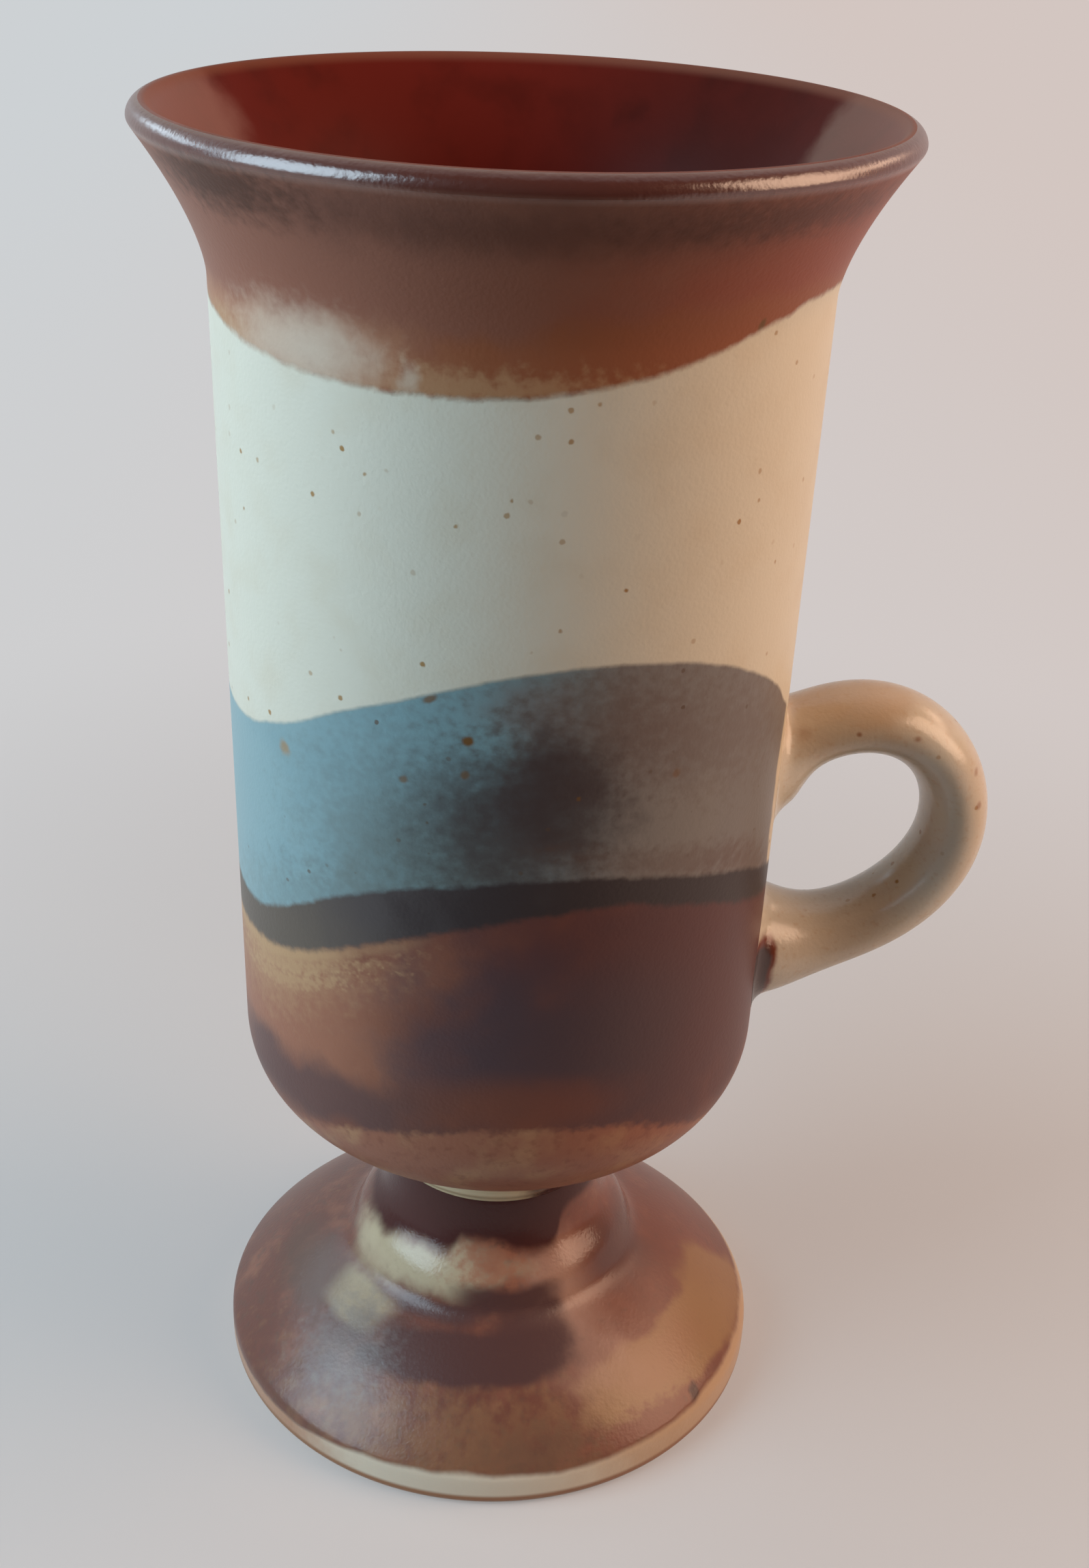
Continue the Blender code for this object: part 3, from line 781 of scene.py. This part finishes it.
# Straw that ran out under the charcoal, as (turn, height over the charcoal's foot)
STRAW_PATCHES = [
    Patch(STRAW, (-58, -3.2), (24, 4.4), soft=1.8, ragged=1.2, texture="mottle", cover=0.4),
    Patch(STRAW, (-54, -0.6), (27, 1.0), soft=1.4, ragged=0.5, cover=0.85),
    Patch(STRAW, (-50, -2.3), (19, 0.8), soft=1.6, ragged=1.3, texture="granule", cover=0.7),
    Patch(STRAW, (-51, -4.0), (17, 0.9), soft=1.6, ragged=1.5, texture="granule", cover=0.65),
]
FOOT_PATCHES = [
    *behind(BLOTCH, 12.6, (50, 2.2), soft=1.2, ragged=0.8, cover=0.7),
    Patch(MAHOGANY, (70, 14), (54, 10), soft=1.0, ragged=0.5, cover=0.7),
    Patch(FOOT_TAN, (-4, 6.4), (32, 3.4), soft=1.8, ragged=1.8, texture="drip", cover=0.4),
    Patch(MOTTLE_BROWN, (12, 6), (10, 1.8), soft=1.5, ragged=1.2, texture="drip", cover=0.5),
    Patch(FOOT_TAN, (53, 8.6), (27, 2.6), soft=0.3, ragged=0.4, boxy=True, cover=0.95),
    Patch(FOOT_TAN, (82, 8.4), (14, 3.2), soft=0.5, ragged=0.5, boxy=True, cover=0.9),
    Patch(AMBER, (46, 9.5), (16, 2), soft=1.6, ragged=1.2, cover=0.3),
    Patch(MAHOGANY, (39, 5.7), (13, 1.2), soft=1.1, ragged=0.9, texture="mottle"),
    Patch(NECK_DARK, (52, 5.4), (1.6, 0.6), tilt=10, soft=1.0, texture="mottle"),
    # Pink-tan glaze on the right of the tier, partly a painted warm highlight
    Patch(PINK_TAN_AND_SHEEN, (28, 16.8), (15, 5.5), soft=1.4, ragged=0.6, cover=0.9),
    Patch(SHOULDER_STRAW, (-34, 18.9), (33, 2.6), soft=1.0, ragged=1.0),
    Patch(SHOULDER_STRAW, (-12, 21), (14, 2.4), soft=1.2, ragged=1.2, cover=0.9),
    Patch(SHOULDER_STRAW, (-58, 17.2), (20, 2.0), soft=1.2, ragged=0.8, cover=0.7),
    Patch(SHOULDER_STRAW, (11, 19.8), (9, 0.9), soft=1.5, ragged=1.2, cover=0.5),
    Patch(AMBER, (0, 20.4), (15, 2.6), soft=1.5, ragged=1.4, texture="mottle", cover=0.75),
    Patch(SHOULDER_STRAW, (-49, 13.1), (13, 1.2), soft=0.6, ragged=0.5, boxy=True, cover=0.85),
    Patch(BLOTCH, (8, 16.4), (19, 1.6), soft=0.9, ragged=0.6, boxy=True, cover=0.95),
    Patch(BLOTCH, (-20, 14.9), (15, 0.7), soft=0.9, ragged=0.6, boxy=True, cover=0.9),
    Patch(BLOTCH, (-7, 12.3), (34, 1.6), tilt=0.8, soft=0.5, ragged=0.4, boxy=True),
    Patch(BLOTCH, (14, 14), (14, 2.0), soft=1.0, cover=0.9),
    Patch(DUSK, (70, 17.2), (26, 3.2), soft=1.2, ragged=0.5, cover=0.9),
    Patch(MOTTLE_BROWN, (-74, 11.8), (18, 2.0), soft=1.0, cover=0.85),
    # Pale ash glaze on the left of the skirt, partly a painted cool highlight
    Patch(ASH, (-42, 10.7), (12, 3.2), soft=1.4, ragged=0.9, texture="mottle", cover=0.55),
    Patch(BLOTCH, (58, 19), (9, 3.0), soft=1.3, cover=0.25),
    Patch(MOTTLE_BROWN, (-49, 3.9), (15, 1.0), soft=1.2, cover=0.3),
]
# Pale straw on the left and front of the slip ring, partly glaze and partly a painted highlight
SLIP_PATCHES = [Patch(SLIP_STRAW_AND_HIGHLIGHT, (-56, SLIP_MID_Z), (72, 9), soft=0.3, ragged=0.3)]
EDGE_PATCHES = [
    Patch(EDGE_TAN, (62, 3.5), (36, 6), soft=1.2, cover=0.9),
    Patch(TAN_RUST, (-80, 2.6), (46, 5), soft=0.5, ragged=0.4, cover=0.9),
]
# Painted light in the liner: a darker patch of painted shade on its right, and pale patches of painted
# reflection on both sides of the flare
LINER_SHADE_AND_REFLECTION_PATCHES = [
    Patch(OX_DARK_AND_SHADE, (128, 126), (36, 34), soft=1.1, cover=0.95),
    Patch(ROSE_REFLECTION, (-82, 149), (30, 13), soft=0.35, ragged=0.2, boxy=True, cover=0.45),
    Patch(PINK_TAN_AND_SHEEN, (86, 149), (28, 13), soft=0.25, ragged=0.2, boxy=True, cover=0.34),
]
HANDLE_PATCHES = [
    Patch(HANDLE_TAN, (36, -3, 90), (10, 8, 5), soft=1.6, ragged=0.9, cover=0.7),
    Patch(HANDLE_TAN, (53, -2, 76), (5, 7, 8), soft=1.6, ragged=0.9, cover=0.35),
    Patch(HANDLE_TAN, (40, -4, 60), (9, 6, 5), soft=1.6, ragged=0.9, cover=0.25),
    fleck((38, -5.6, 86), (0.3, 2.5, 0.25), 0.7, FRECKLE, soft=1.4, ragged=0.5),
    fleck((44.6, -5.6, 85.4), (0.4, 2.5, 0.3), 0.6, FRECKLE, soft=1.4, ragged=0.5),
    fleck((52.8, -4.5, 76.9), (0.3, 2.5, 0.45), 0.6, FRECKLE, soft=1.4, ragged=0.6),
    fleck((52.2, -4.5, 80.7), (0.3, 2.5, 0.35), 0.5, FRECKLE, soft=1.4, ragged=0.6),
    fleck((32, -6, 85.7), (0.7, 2.5, 0.5), 0.3, FRECKLE, soft=1.7, ragged=0.8),
    Patch(LAP_EDGE, (28.5, -7.5, 56), (2.5, 4.2, 4.8), soft=0.3, ragged=0.4, boxy=True),
    Patch(LAP_BROWN, (28.1, -7.5, 55.3), (2.4, 4.2, 4.4), soft=0.35, ragged=0.4, boxy=True),
]


def banded_glaze():
    """Stoneware glazed in wavy bands: iron brown rim, satin cream, slate blue, charcoal and plum brown.

    The eye gets a satin ceramic with soft overlaps between bands, brown iron specks in the cream and blue,
    mottling where glazes ran thin, and a faint orange-peel grain in the highlights.
    """
    skin = Skin("banded_stoneware_glaze", GLAZE_IOR)
    cloud = skin.uneven("cloud")
    mottle = skin.uneven("mottle")
    straw_clouds = (linear(STRAW), cloud, -0.1, 0.5, 0.5)
    brown_mottle = (linear(MAHOGANY), mottle, 0.0, 0.5, 0.45)
    bowl = skin.layered(linear(BOWL_BROWN), straw_clouds, brown_mottle)
    lower = skin.patched(linear(MAHOGANY), LOWER_PATCHES)
    under = add_node(skin.tree, "ShaderNodeCombineXYZ", {"X": skin.turn, "Y": skin.over(CHARCOAL_FOOT)})
    lower = skin.patched(lower, STRAW_PATCHES, under)
    charcoal = skin.patched(linear(CHARCOAL), CHARCOAL_PATCHES)
    blue = skin.patched(linear(TEAL), BLUE_PATCHES)
    blue = skin.specked(blue, SPECK_BROWN, spacing=2.4, radius=0.26, share=0.6)
    cream = skin.layered(linear(CREAM), (linear(WARM_CREAM), cloud, -0.2, 0.6, 0.35))
    cream = skin.specked(cream, SPECK_OCHRE, spacing=2.6, radius=0.30, share=0.8)
    rim = skin.patched(linear(RIM_BROWN), RIM_PATCHES)
    red_lip = (linear(LIP_RED), skin.height, LIP_Z - 0.5, LIP_Z + 0.3, 0.85)
    pale_crest = (linear(STRAW), skin.height, MUG_H - 0.4, MUG_H - 0.1, 0.1)
    rim = skin.layered(rim, red_lip, pale_crest)

    over_bowl = skin.above(BOWL_EDGE, soft=1.3, ragged=0.8)
    over_lower = skin.above(CHARCOAL_FOOT, soft=1.1, ragged=0.5)
    over_charcoal = skin.above(CHARCOAL_TOP, soft=0.9, ragged=0.3)
    over_blue = skin.above(BLUE_EDGE, soft=0.6, ragged=0.15)
    over_cream = skin.above(RIM_EDGE, soft=0.8, ragged=0.3)
    pale = skin.layered(blue, (cream, *over_blue))
    pale = skin.specked(pale, SPECK_IRON, spacing=7.0, radius=0.36, share=0.5)
    colour = skin.layered(bowl, (lower, *over_bowl), (charcoal, *over_lower))
    colour = skin.layered(colour, (pale, *over_charcoal), (rim, *over_cream))

    lip = (skin.height, LIP_Z - 0.9, LIP_Z)
    crest = (skin.height, MUG_H - 0.5, MUG_H - 0.15)
    wobble = add_node(skin.tree, "ShaderNodeMath", {0: mottle, 1: LIP_WOBBLE}, operation="MULTIPLY")
    grain = (skin.uneven("grain"), 0.012)
    roughness = [0.40, (*over_charcoal, 0.02), (*lip, -0.16)]
    sheen = [0.26, (*over_charcoal, 0.18), (*over_cream, -0.22), (*lip, 1.00), (*crest, -0.60)]
    steps = [(*over_cream, 0.12), (*over_charcoal, -0.06), (*over_blue, 0.05)]
    return skin.coat(colour, roughness, sheen, [0.0, grain, (*lip, wobble), *steps])


def oxblood_glaze():
    """Liner glaze with little shine: dark red over the clay, paler and browner where it thins at the lip,
    with painted shade on its right and painted pale reflections on both sides of the flare.
    """
    skin = Skin("oxblood_liner_glaze", GLAZE_IOR)
    colour = skin.layered(linear(OXBLOOD), (linear(OX_DARK_AND_SHADE), skin.uneven("cloud"), -0.2, 0.6, 0.5))
    colour = skin.patched(colour, LINER_SHADE_AND_REFLECTION_PATCHES)
    colour = skin.layered(colour, (linear(RIM_BROWN), skin.height, MUG_H - 1.2, MUG_H - 0.2, 0.6))
    return skin.coat(colour, [0.45], [0.06], [0.0, (skin.uneven("grain"), 0.006)])


def foot_glaze():
    """Glossy brown glazes that ran together: dark neck, straw shoulder, tan and cream where they are thin."""
    skin = Skin("running_brown_glaze", GLAZE_IOR)
    mottle = skin.uneven("mottle")
    amber_clouds = (linear(AMBER), skin.uneven("cloud"), 0.0, 0.6, 0.5)
    dark_mottle = (linear(MOTTLE_BROWN), mottle, 0.0, 0.5, 0.5)
    tan_mottle = (linear(FOOT_TAN), mottle, -0.1, -0.7, 0.3)
    colour = skin.layered(linear(FOOT_BROWN), amber_clouds, dark_mottle, tan_mottle)
    colour = skin.patched(colour, FOOT_PATCHES)
    over_tier = skin.above(NECK_EDGE, soft=1.8, ragged=1.1, texture="cloud")
    faint_mottle = (linear(MOTTLE_BROWN), mottle, 0.1, 0.9, 0.25)
    colour = skin.layered(colour, faint_mottle, (linear(NECK_DARK), *over_tier))
    over_band = skin.above(EDGE_TOP, soft=0.7, ragged=0.5, texture="cloud")
    band = skin.patched(linear(EDGE_CREAM), EDGE_PATCHES)
    brown_line = (linear(EDGE_LINE), skin.height, 1.9, 1.2)
    bare_clay = (linear(BARE_CLAY), skin.height, 0.7, 0.4)
    colour = skin.layered(band, (colour, *over_band), brown_line, bare_clay)
    shoulder = (skin.height, GROOVE_Z - 1.0, GROOVE_Z + 2.0)
    roughness = [0.34, (*shoulder, -0.11)]
    sheen = [0.46, (*shoulder, -0.03), (*over_tier, -0.18)]
    return skin.coat(colour, roughness, sheen, [0.0, (skin.uneven("grain"), 0.012), (*over_band, 0.12)])


def slip_glaze():
    """Straw glaze gathered on the left and front of the ring of slip under the cup, partly a painted
    highlight; the rest of the ring is the dark neck glaze.
    """
    skin = Skin("slip_glaze_with_painted_highlight", GLAZE_IOR)
    colour = skin.patched(linear(NECK_DARK), SLIP_PATCHES)
    return skin.coat(colour, [0.25], [0.5], [0.0, (skin.uneven("grain"), 0.010)])


def handle_glaze():
    """The cream glaze on the pulled strap, thin and tan on its edges, with iron freckles."""
    skin = Skin("cream_glaze_on_handle", GLAZE_IOR)
    coords = add_node(skin.tree, "ShaderNodeTexCoord").node.outputs["Object"]
    sized = add_node(skin.tree, "ShaderNodeMapping", {"Vector": coords, "Scale": (1 / MM, 1 / MM, 1 / MM)})
    warm_clouds = (linear(WARM_CREAM), skin.uneven("cloud"), -0.1, 0.6, 0.6)
    tan_granules = (linear(HANDLE_TAN), skin.uneven("granule"), 0.1, 0.7, 0.35)
    colour = skin.layered(linear(HANDLE_CREAM), warm_clouds, tan_granules)
    colour = skin.specked(colour, SPECK_OCHRE, spacing=2.4, radius=0.30, share=0.5)
    colour = skin.patched(colour, HANDLE_PATCHES, sized)
    return skin.coat(colour, [0.22], [0.55], [0.0, (skin.uneven("grain"), 0.010)])


cup.data.materials.append(banded_glaze())
cup.data.materials.append(oxblood_glaze())
foot.data.materials.append(foot_glaze())
ring.data.materials.append(slip_glaze())
handle.data.materials.append(handle_glaze())

# The liner covers the faces that look up or towards the axis
for face in cup.data.polygons:
    outward = face.center.to_2d().normalized()
    looks_out = face.normal.to_2d().dot(outward)
    face.material_index = 1 if face.normal.z > LINER_LEAN * looks_out else 0

for piece, nodes, slot in (
    (cup, ["cup_body"], "cup_glaze"),
    (foot, ["pedestal_foot"], "foot_glaze"),
    (ring, ["neck_slip_joint"], "neck_slip_glaze"),
    (handle, ["handle", "handle_upper_slip_joint", "handle_lower_slip_joint"], "handle_glaze"),
):
    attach(piece, "root")
    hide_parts(*nodes)

# Camera
CAMERA_BACK = 192.381
CAMERA_H = 177.309
CAMERA_DOWN = math.radians(27.499)
CAMERA_YAW = math.radians(1.2667)
CAMERA_ROLL = math.radians(2.4838)
FOCAL_PX = 2834.63
PHOTO_H_PX = 2298
SENSOR_H = 36.0
CLIP_NEAR = 5.0

# Stage and light
FLOOR_COLOUR = "#D2CECB"
FLOOR_ROUGHNESS = 0.9
FRONT_COLOUR = "#2E2B2A"  # the dark room in front of the paper, which only the mug sees
FRONT_FROM = 50.0  # distance in front of the axis where it starts, and where it is full
FRONT_TO = 90.0
FRONT_WIDE = 62.0  # turn to either side where it ends, and from where it is full
FRONT_NARROW = 30.0
FLOOR_R = 4000.0
FLOOR_SIDES = 96
PALE_LEFT = "#CDD1D4"
PALE_RIGHT = "#D3C6C1"
PALE_NEAR = 0.34  # share of the pale surround in the paper round the mug
PALE_FROM = 60.0  # distance from the axis where the paper starts to fade into the pale surround
PALE_TO = 240.0
TINT_HALF_W = 300.0  # the surround turns from cool to warm over this much to either side
ROOM_LIGHT = 0.03
ROOM_BACK = 0.6  # how far back a direction has to point to see all of the surround
ROOM_TINT_HALF_W = 0.6
LAMP_BACK = 420.0  # distance of the panels and windows from the axis, and their height
LAMP_H = 290.0
LAMP_AIM_H = 80.0  # height of the place on the axis that they face
COOL_LIGHT = "#D6EFFF"
WARM_LIGHT = "#FFD5B6"
ROOF_LIGHT = "#F4F1F2"


def add_camera():
    """A camera where the photo was taken from."""
    lens = bpy.data.cameras.new("camera")
    lens.sensor_fit = "VERTICAL"
    lens.sensor_height = SENSOR_H
    lens.lens = FOCAL_PX * SENSOR_H / PHOTO_H_PX
    lens.clip_start = CLIP_NEAR * MM
    camera = bpy.data.objects.new("camera", lens)
    bpy.context.scene.collection.objects.link(camera)
    looking = Vector((math.sin(CAMERA_YAW), math.cos(CAMERA_YAW), 0.0)) * math.cos(CAMERA_DOWN)
    looking.z = -math.sin(CAMERA_DOWN)
    right = Vector((math.cos(CAMERA_YAW), -math.sin(CAMERA_YAW), 0.0))
    up = right.cross(looking)
    rolled_right = right * math.cos(CAMERA_ROLL) + up * math.sin(CAMERA_ROLL)
    rolled_up = up * math.cos(CAMERA_ROLL) - right * math.sin(CAMERA_ROLL)
    turn = Matrix((rolled_right, rolled_up, -looking)).transposed().to_4x4()
    stand = Matrix.Translation(Vector((0.0, -CAMERA_BACK, CAMERA_H)) * MM)
    camera.matrix_world = WHEEL @ stand @ turn
    bpy.context.scene.camera = camera


def ray_kinds(tree):
    """Whether a ray comes from the camera, and whether it comes from a gloss or through glass."""
    path = add_node(tree, "ShaderNodeLightPath").node.outputs
    pair = {0: path["Is Glossy Ray"], 1: path["Is Transmission Ray"]}
    mirrored = add_node(tree, "ShaderNodeMath", pair, operation="MAXIMUM")
    return path["Is Camera Ray"], mirrored


def pale_tint(tree, across, half_width):
    """The surround's colour, cool on the left and warm on the right."""
    ends = {"Value": across, "From Min": -half_width, "From Max": half_width}
    share = add_node(tree, "ShaderNodeMapRange", ends, interpolation_type="SMOOTHSTEP")
    sides = {"Factor": share, "A": linear(PALE_LEFT), "B": linear(PALE_RIGHT)}
    return add_node(tree, "ShaderNodeMix", sides, data_type="RGBA")


def add_stage():
    """A wide paper floor that is lit near the mug and fades into the pale surround."""
    shape = bmesh.new()
    bmesh.ops.create_circle(shape, cap_ends=True, segments=FLOOR_SIDES, radius=FLOOR_R)
    stage = finished("stage", shape, WHEEL)
    paper = bpy.data.materials.new("pale_paper")
    paper.use_nodes = True
    tree = paper.node_tree
    shader = tree.nodes["Principled BSDF"]
    shader.inputs["Roughness"].default_value = FLOOR_ROUGHNESS
    spot = add_node(tree, "ShaderNodeTexCoord").node.outputs["Object"]
    axes = add_node(tree, "ShaderNodeSeparateXYZ", {0: spot}).node.outputs
    toward = add_node(tree, "ShaderNodeMath", {0: axes["Y"], 1: -1.0}, operation="MULTIPLY")
    ends = {"Value": toward, "From Min": FRONT_FROM * MM, "From Max": FRONT_TO * MM}
    beyond = add_node(tree, "ShaderNodeMapRange", ends, interpolation_type="SMOOTHSTEP")
    aside = add_node(tree, "ShaderNodeMath", {0: axes["X"]}, operation="ABSOLUTE")
    turn = add_node(tree, "ShaderNodeMath", {0: aside, 1: toward}, operation="ARCTAN2")
    ends = {"Value": turn, "From Min": math.radians(FRONT_WIDE), "From Max": math.radians(FRONT_NARROW)}
    ahead = add_node(tree, "ShaderNodeMapRange", ends, interpolation_type="SMOOTHSTEP")
    front = add_node(tree, "ShaderNodeMath", {0: beyond, 1: ahead}, operation="MULTIPLY")
    direct, mirrored = ray_kinds(tree)
    unseen = add_node(tree, "ShaderNodeMath", {0: 1.0, 1: direct}, operation="SUBTRACT")
    dark = add_node(tree, "ShaderNodeMath", {0: front, 1: unseen}, operation="MULTIPLY")
    sides = {"Factor": dark, "A": linear(FLOOR_COLOUR), "B": linear(FRONT_COLOUR)}
    colour = add_node(tree, "ShaderNodeMix", sides, data_type="RGBA")
    tree.links.new(colour, shader.inputs["Base Color"])
    distance = add_node(tree, "ShaderNodeVectorMath", {0: spot}, operation="LENGTH")
    ends = {"Value": distance, "From Min": PALE_FROM * MM, "From Max": PALE_TO * MM, "To Min": PALE_NEAR}
    far = add_node(tree, "ShaderNodeMapRange", ends, interpolation_type="SMOOTHSTEP")
    behind = add_node(tree, "ShaderNodeMath", {0: 1.0, 1: front}, operation="SUBTRACT")
    mirrored = add_node(tree, "ShaderNodeMath", {0: mirrored, 1: behind}, operation="MULTIPLY")
    seen = add_node(tree, "ShaderNodeMath", {0: direct, 1: mirrored}, operation="MAXIMUM")
    pale = add_node(tree, "ShaderNodeMath", {0: far, 1: front}, operation="MAXIMUM")
    share = add_node(tree, "ShaderNodeMath", {0: pale, 1: seen}, operation="MULTIPLY")
    glow = add_node(tree, "ShaderNodeEmission", {"Color": pale_tint(tree, axes["X"], TINT_HALF_W * MM)})
    sides = {0: share, 1: shader.outputs["BSDF"], 2: glow}
    mixed = add_node(tree, "ShaderNodeMixShader", sides)
    tree.links.new(mixed, tree.nodes["Material Output"].inputs["Surface"])
    stage.data.materials.append(paper)


def add_softbox(name, turn_deg, distance, height, width, tall, watts, colour):
    """A soft light that stands at a turn about the mug and faces it."""
    lamp = bpy.data.lights.new(name, "AREA")
    lamp.shape = "RECTANGLE"
    lamp.size = width * MM
    lamp.size_y = tall * MM
    lamp.energy = watts
    lamp.color = linear(colour)[:3]
    light = bpy.data.objects.new(name, lamp)
    bpy.context.scene.collection.objects.link(light)
    turn = math.radians(turn_deg)
    place = Vector((distance * math.sin(turn), -distance * math.cos(turn), height)) * MM
    aim = Vector((0.0, 0.0, LAMP_AIM_H)) * MM - place
    light.matrix_world = WHEEL @ Matrix.Translation(place) @ aim.to_track_quat("-Z", "Y").to_matrix().to_4x4()
    light.visible_camera = False


def add_world():
    """Dim room light, which the camera, and a gloss that looks to the back, see as the pale surround."""
    world = bpy.data.worlds.new("room")
    world.use_nodes = True
    tree = world.node_tree
    heading = add_node(tree, "ShaderNodeTexCoord").node.outputs["Generated"]
    axes = add_node(tree, "ShaderNodeSeparateXYZ", {0: heading}).node.outputs
    ends = {"Value": axes["Y"], "From Min": 0.0, "From Max": ROOM_BACK}
    behind = add_node(tree, "ShaderNodeMapRange", ends, interpolation_type="SMOOTHSTEP")
    direct, mirrored = ray_kinds(tree)
    mirrored = add_node(tree, "ShaderNodeMath", {0: mirrored, 1: behind}, operation="MULTIPLY")
    seen = add_node(tree, "ShaderNodeMath", {0: direct, 1: mirrored}, operation="MAXIMUM")
    room = (ROOM_LIGHT, ROOM_LIGHT, ROOM_LIGHT, 1.0)
    sides = {"Factor": seen, "A": room, "B": pale_tint(tree, axes["X"], ROOM_TINT_HALF_W)}
    colour = add_node(tree, "ShaderNodeMix", sides, data_type="RGBA")
    tree.links.new(colour, tree.nodes["Background"].inputs["Color"])
    bpy.context.scene.world = world


add_camera()
add_stage()
for lamp in (
    ("cool_panel", -67.0, LAMP_BACK, LAMP_H, 340.0, 340.0, 2.35, COOL_LIGHT),
    ("cool_window", -118.0, LAMP_BACK, LAMP_H, 300.0, 80.0, 0.35, COOL_LIGHT),
    ("warm_panel", 80.0, LAMP_BACK, LAMP_H, 290.0, 340.0, 1.7, WARM_LIGHT),
    ("warm_window", 114.0, LAMP_BACK, LAMP_H, 220.0, 80.0, 0.22, WARM_LIGHT),
    ("roof", 180.0, 200.0, 640.0, 700.0, 700.0, 0.5, ROOF_LIGHT),
):
    add_softbox(*lamp)
add_world()
bpy.context.scene.view_settings.view_transform = "Standard"
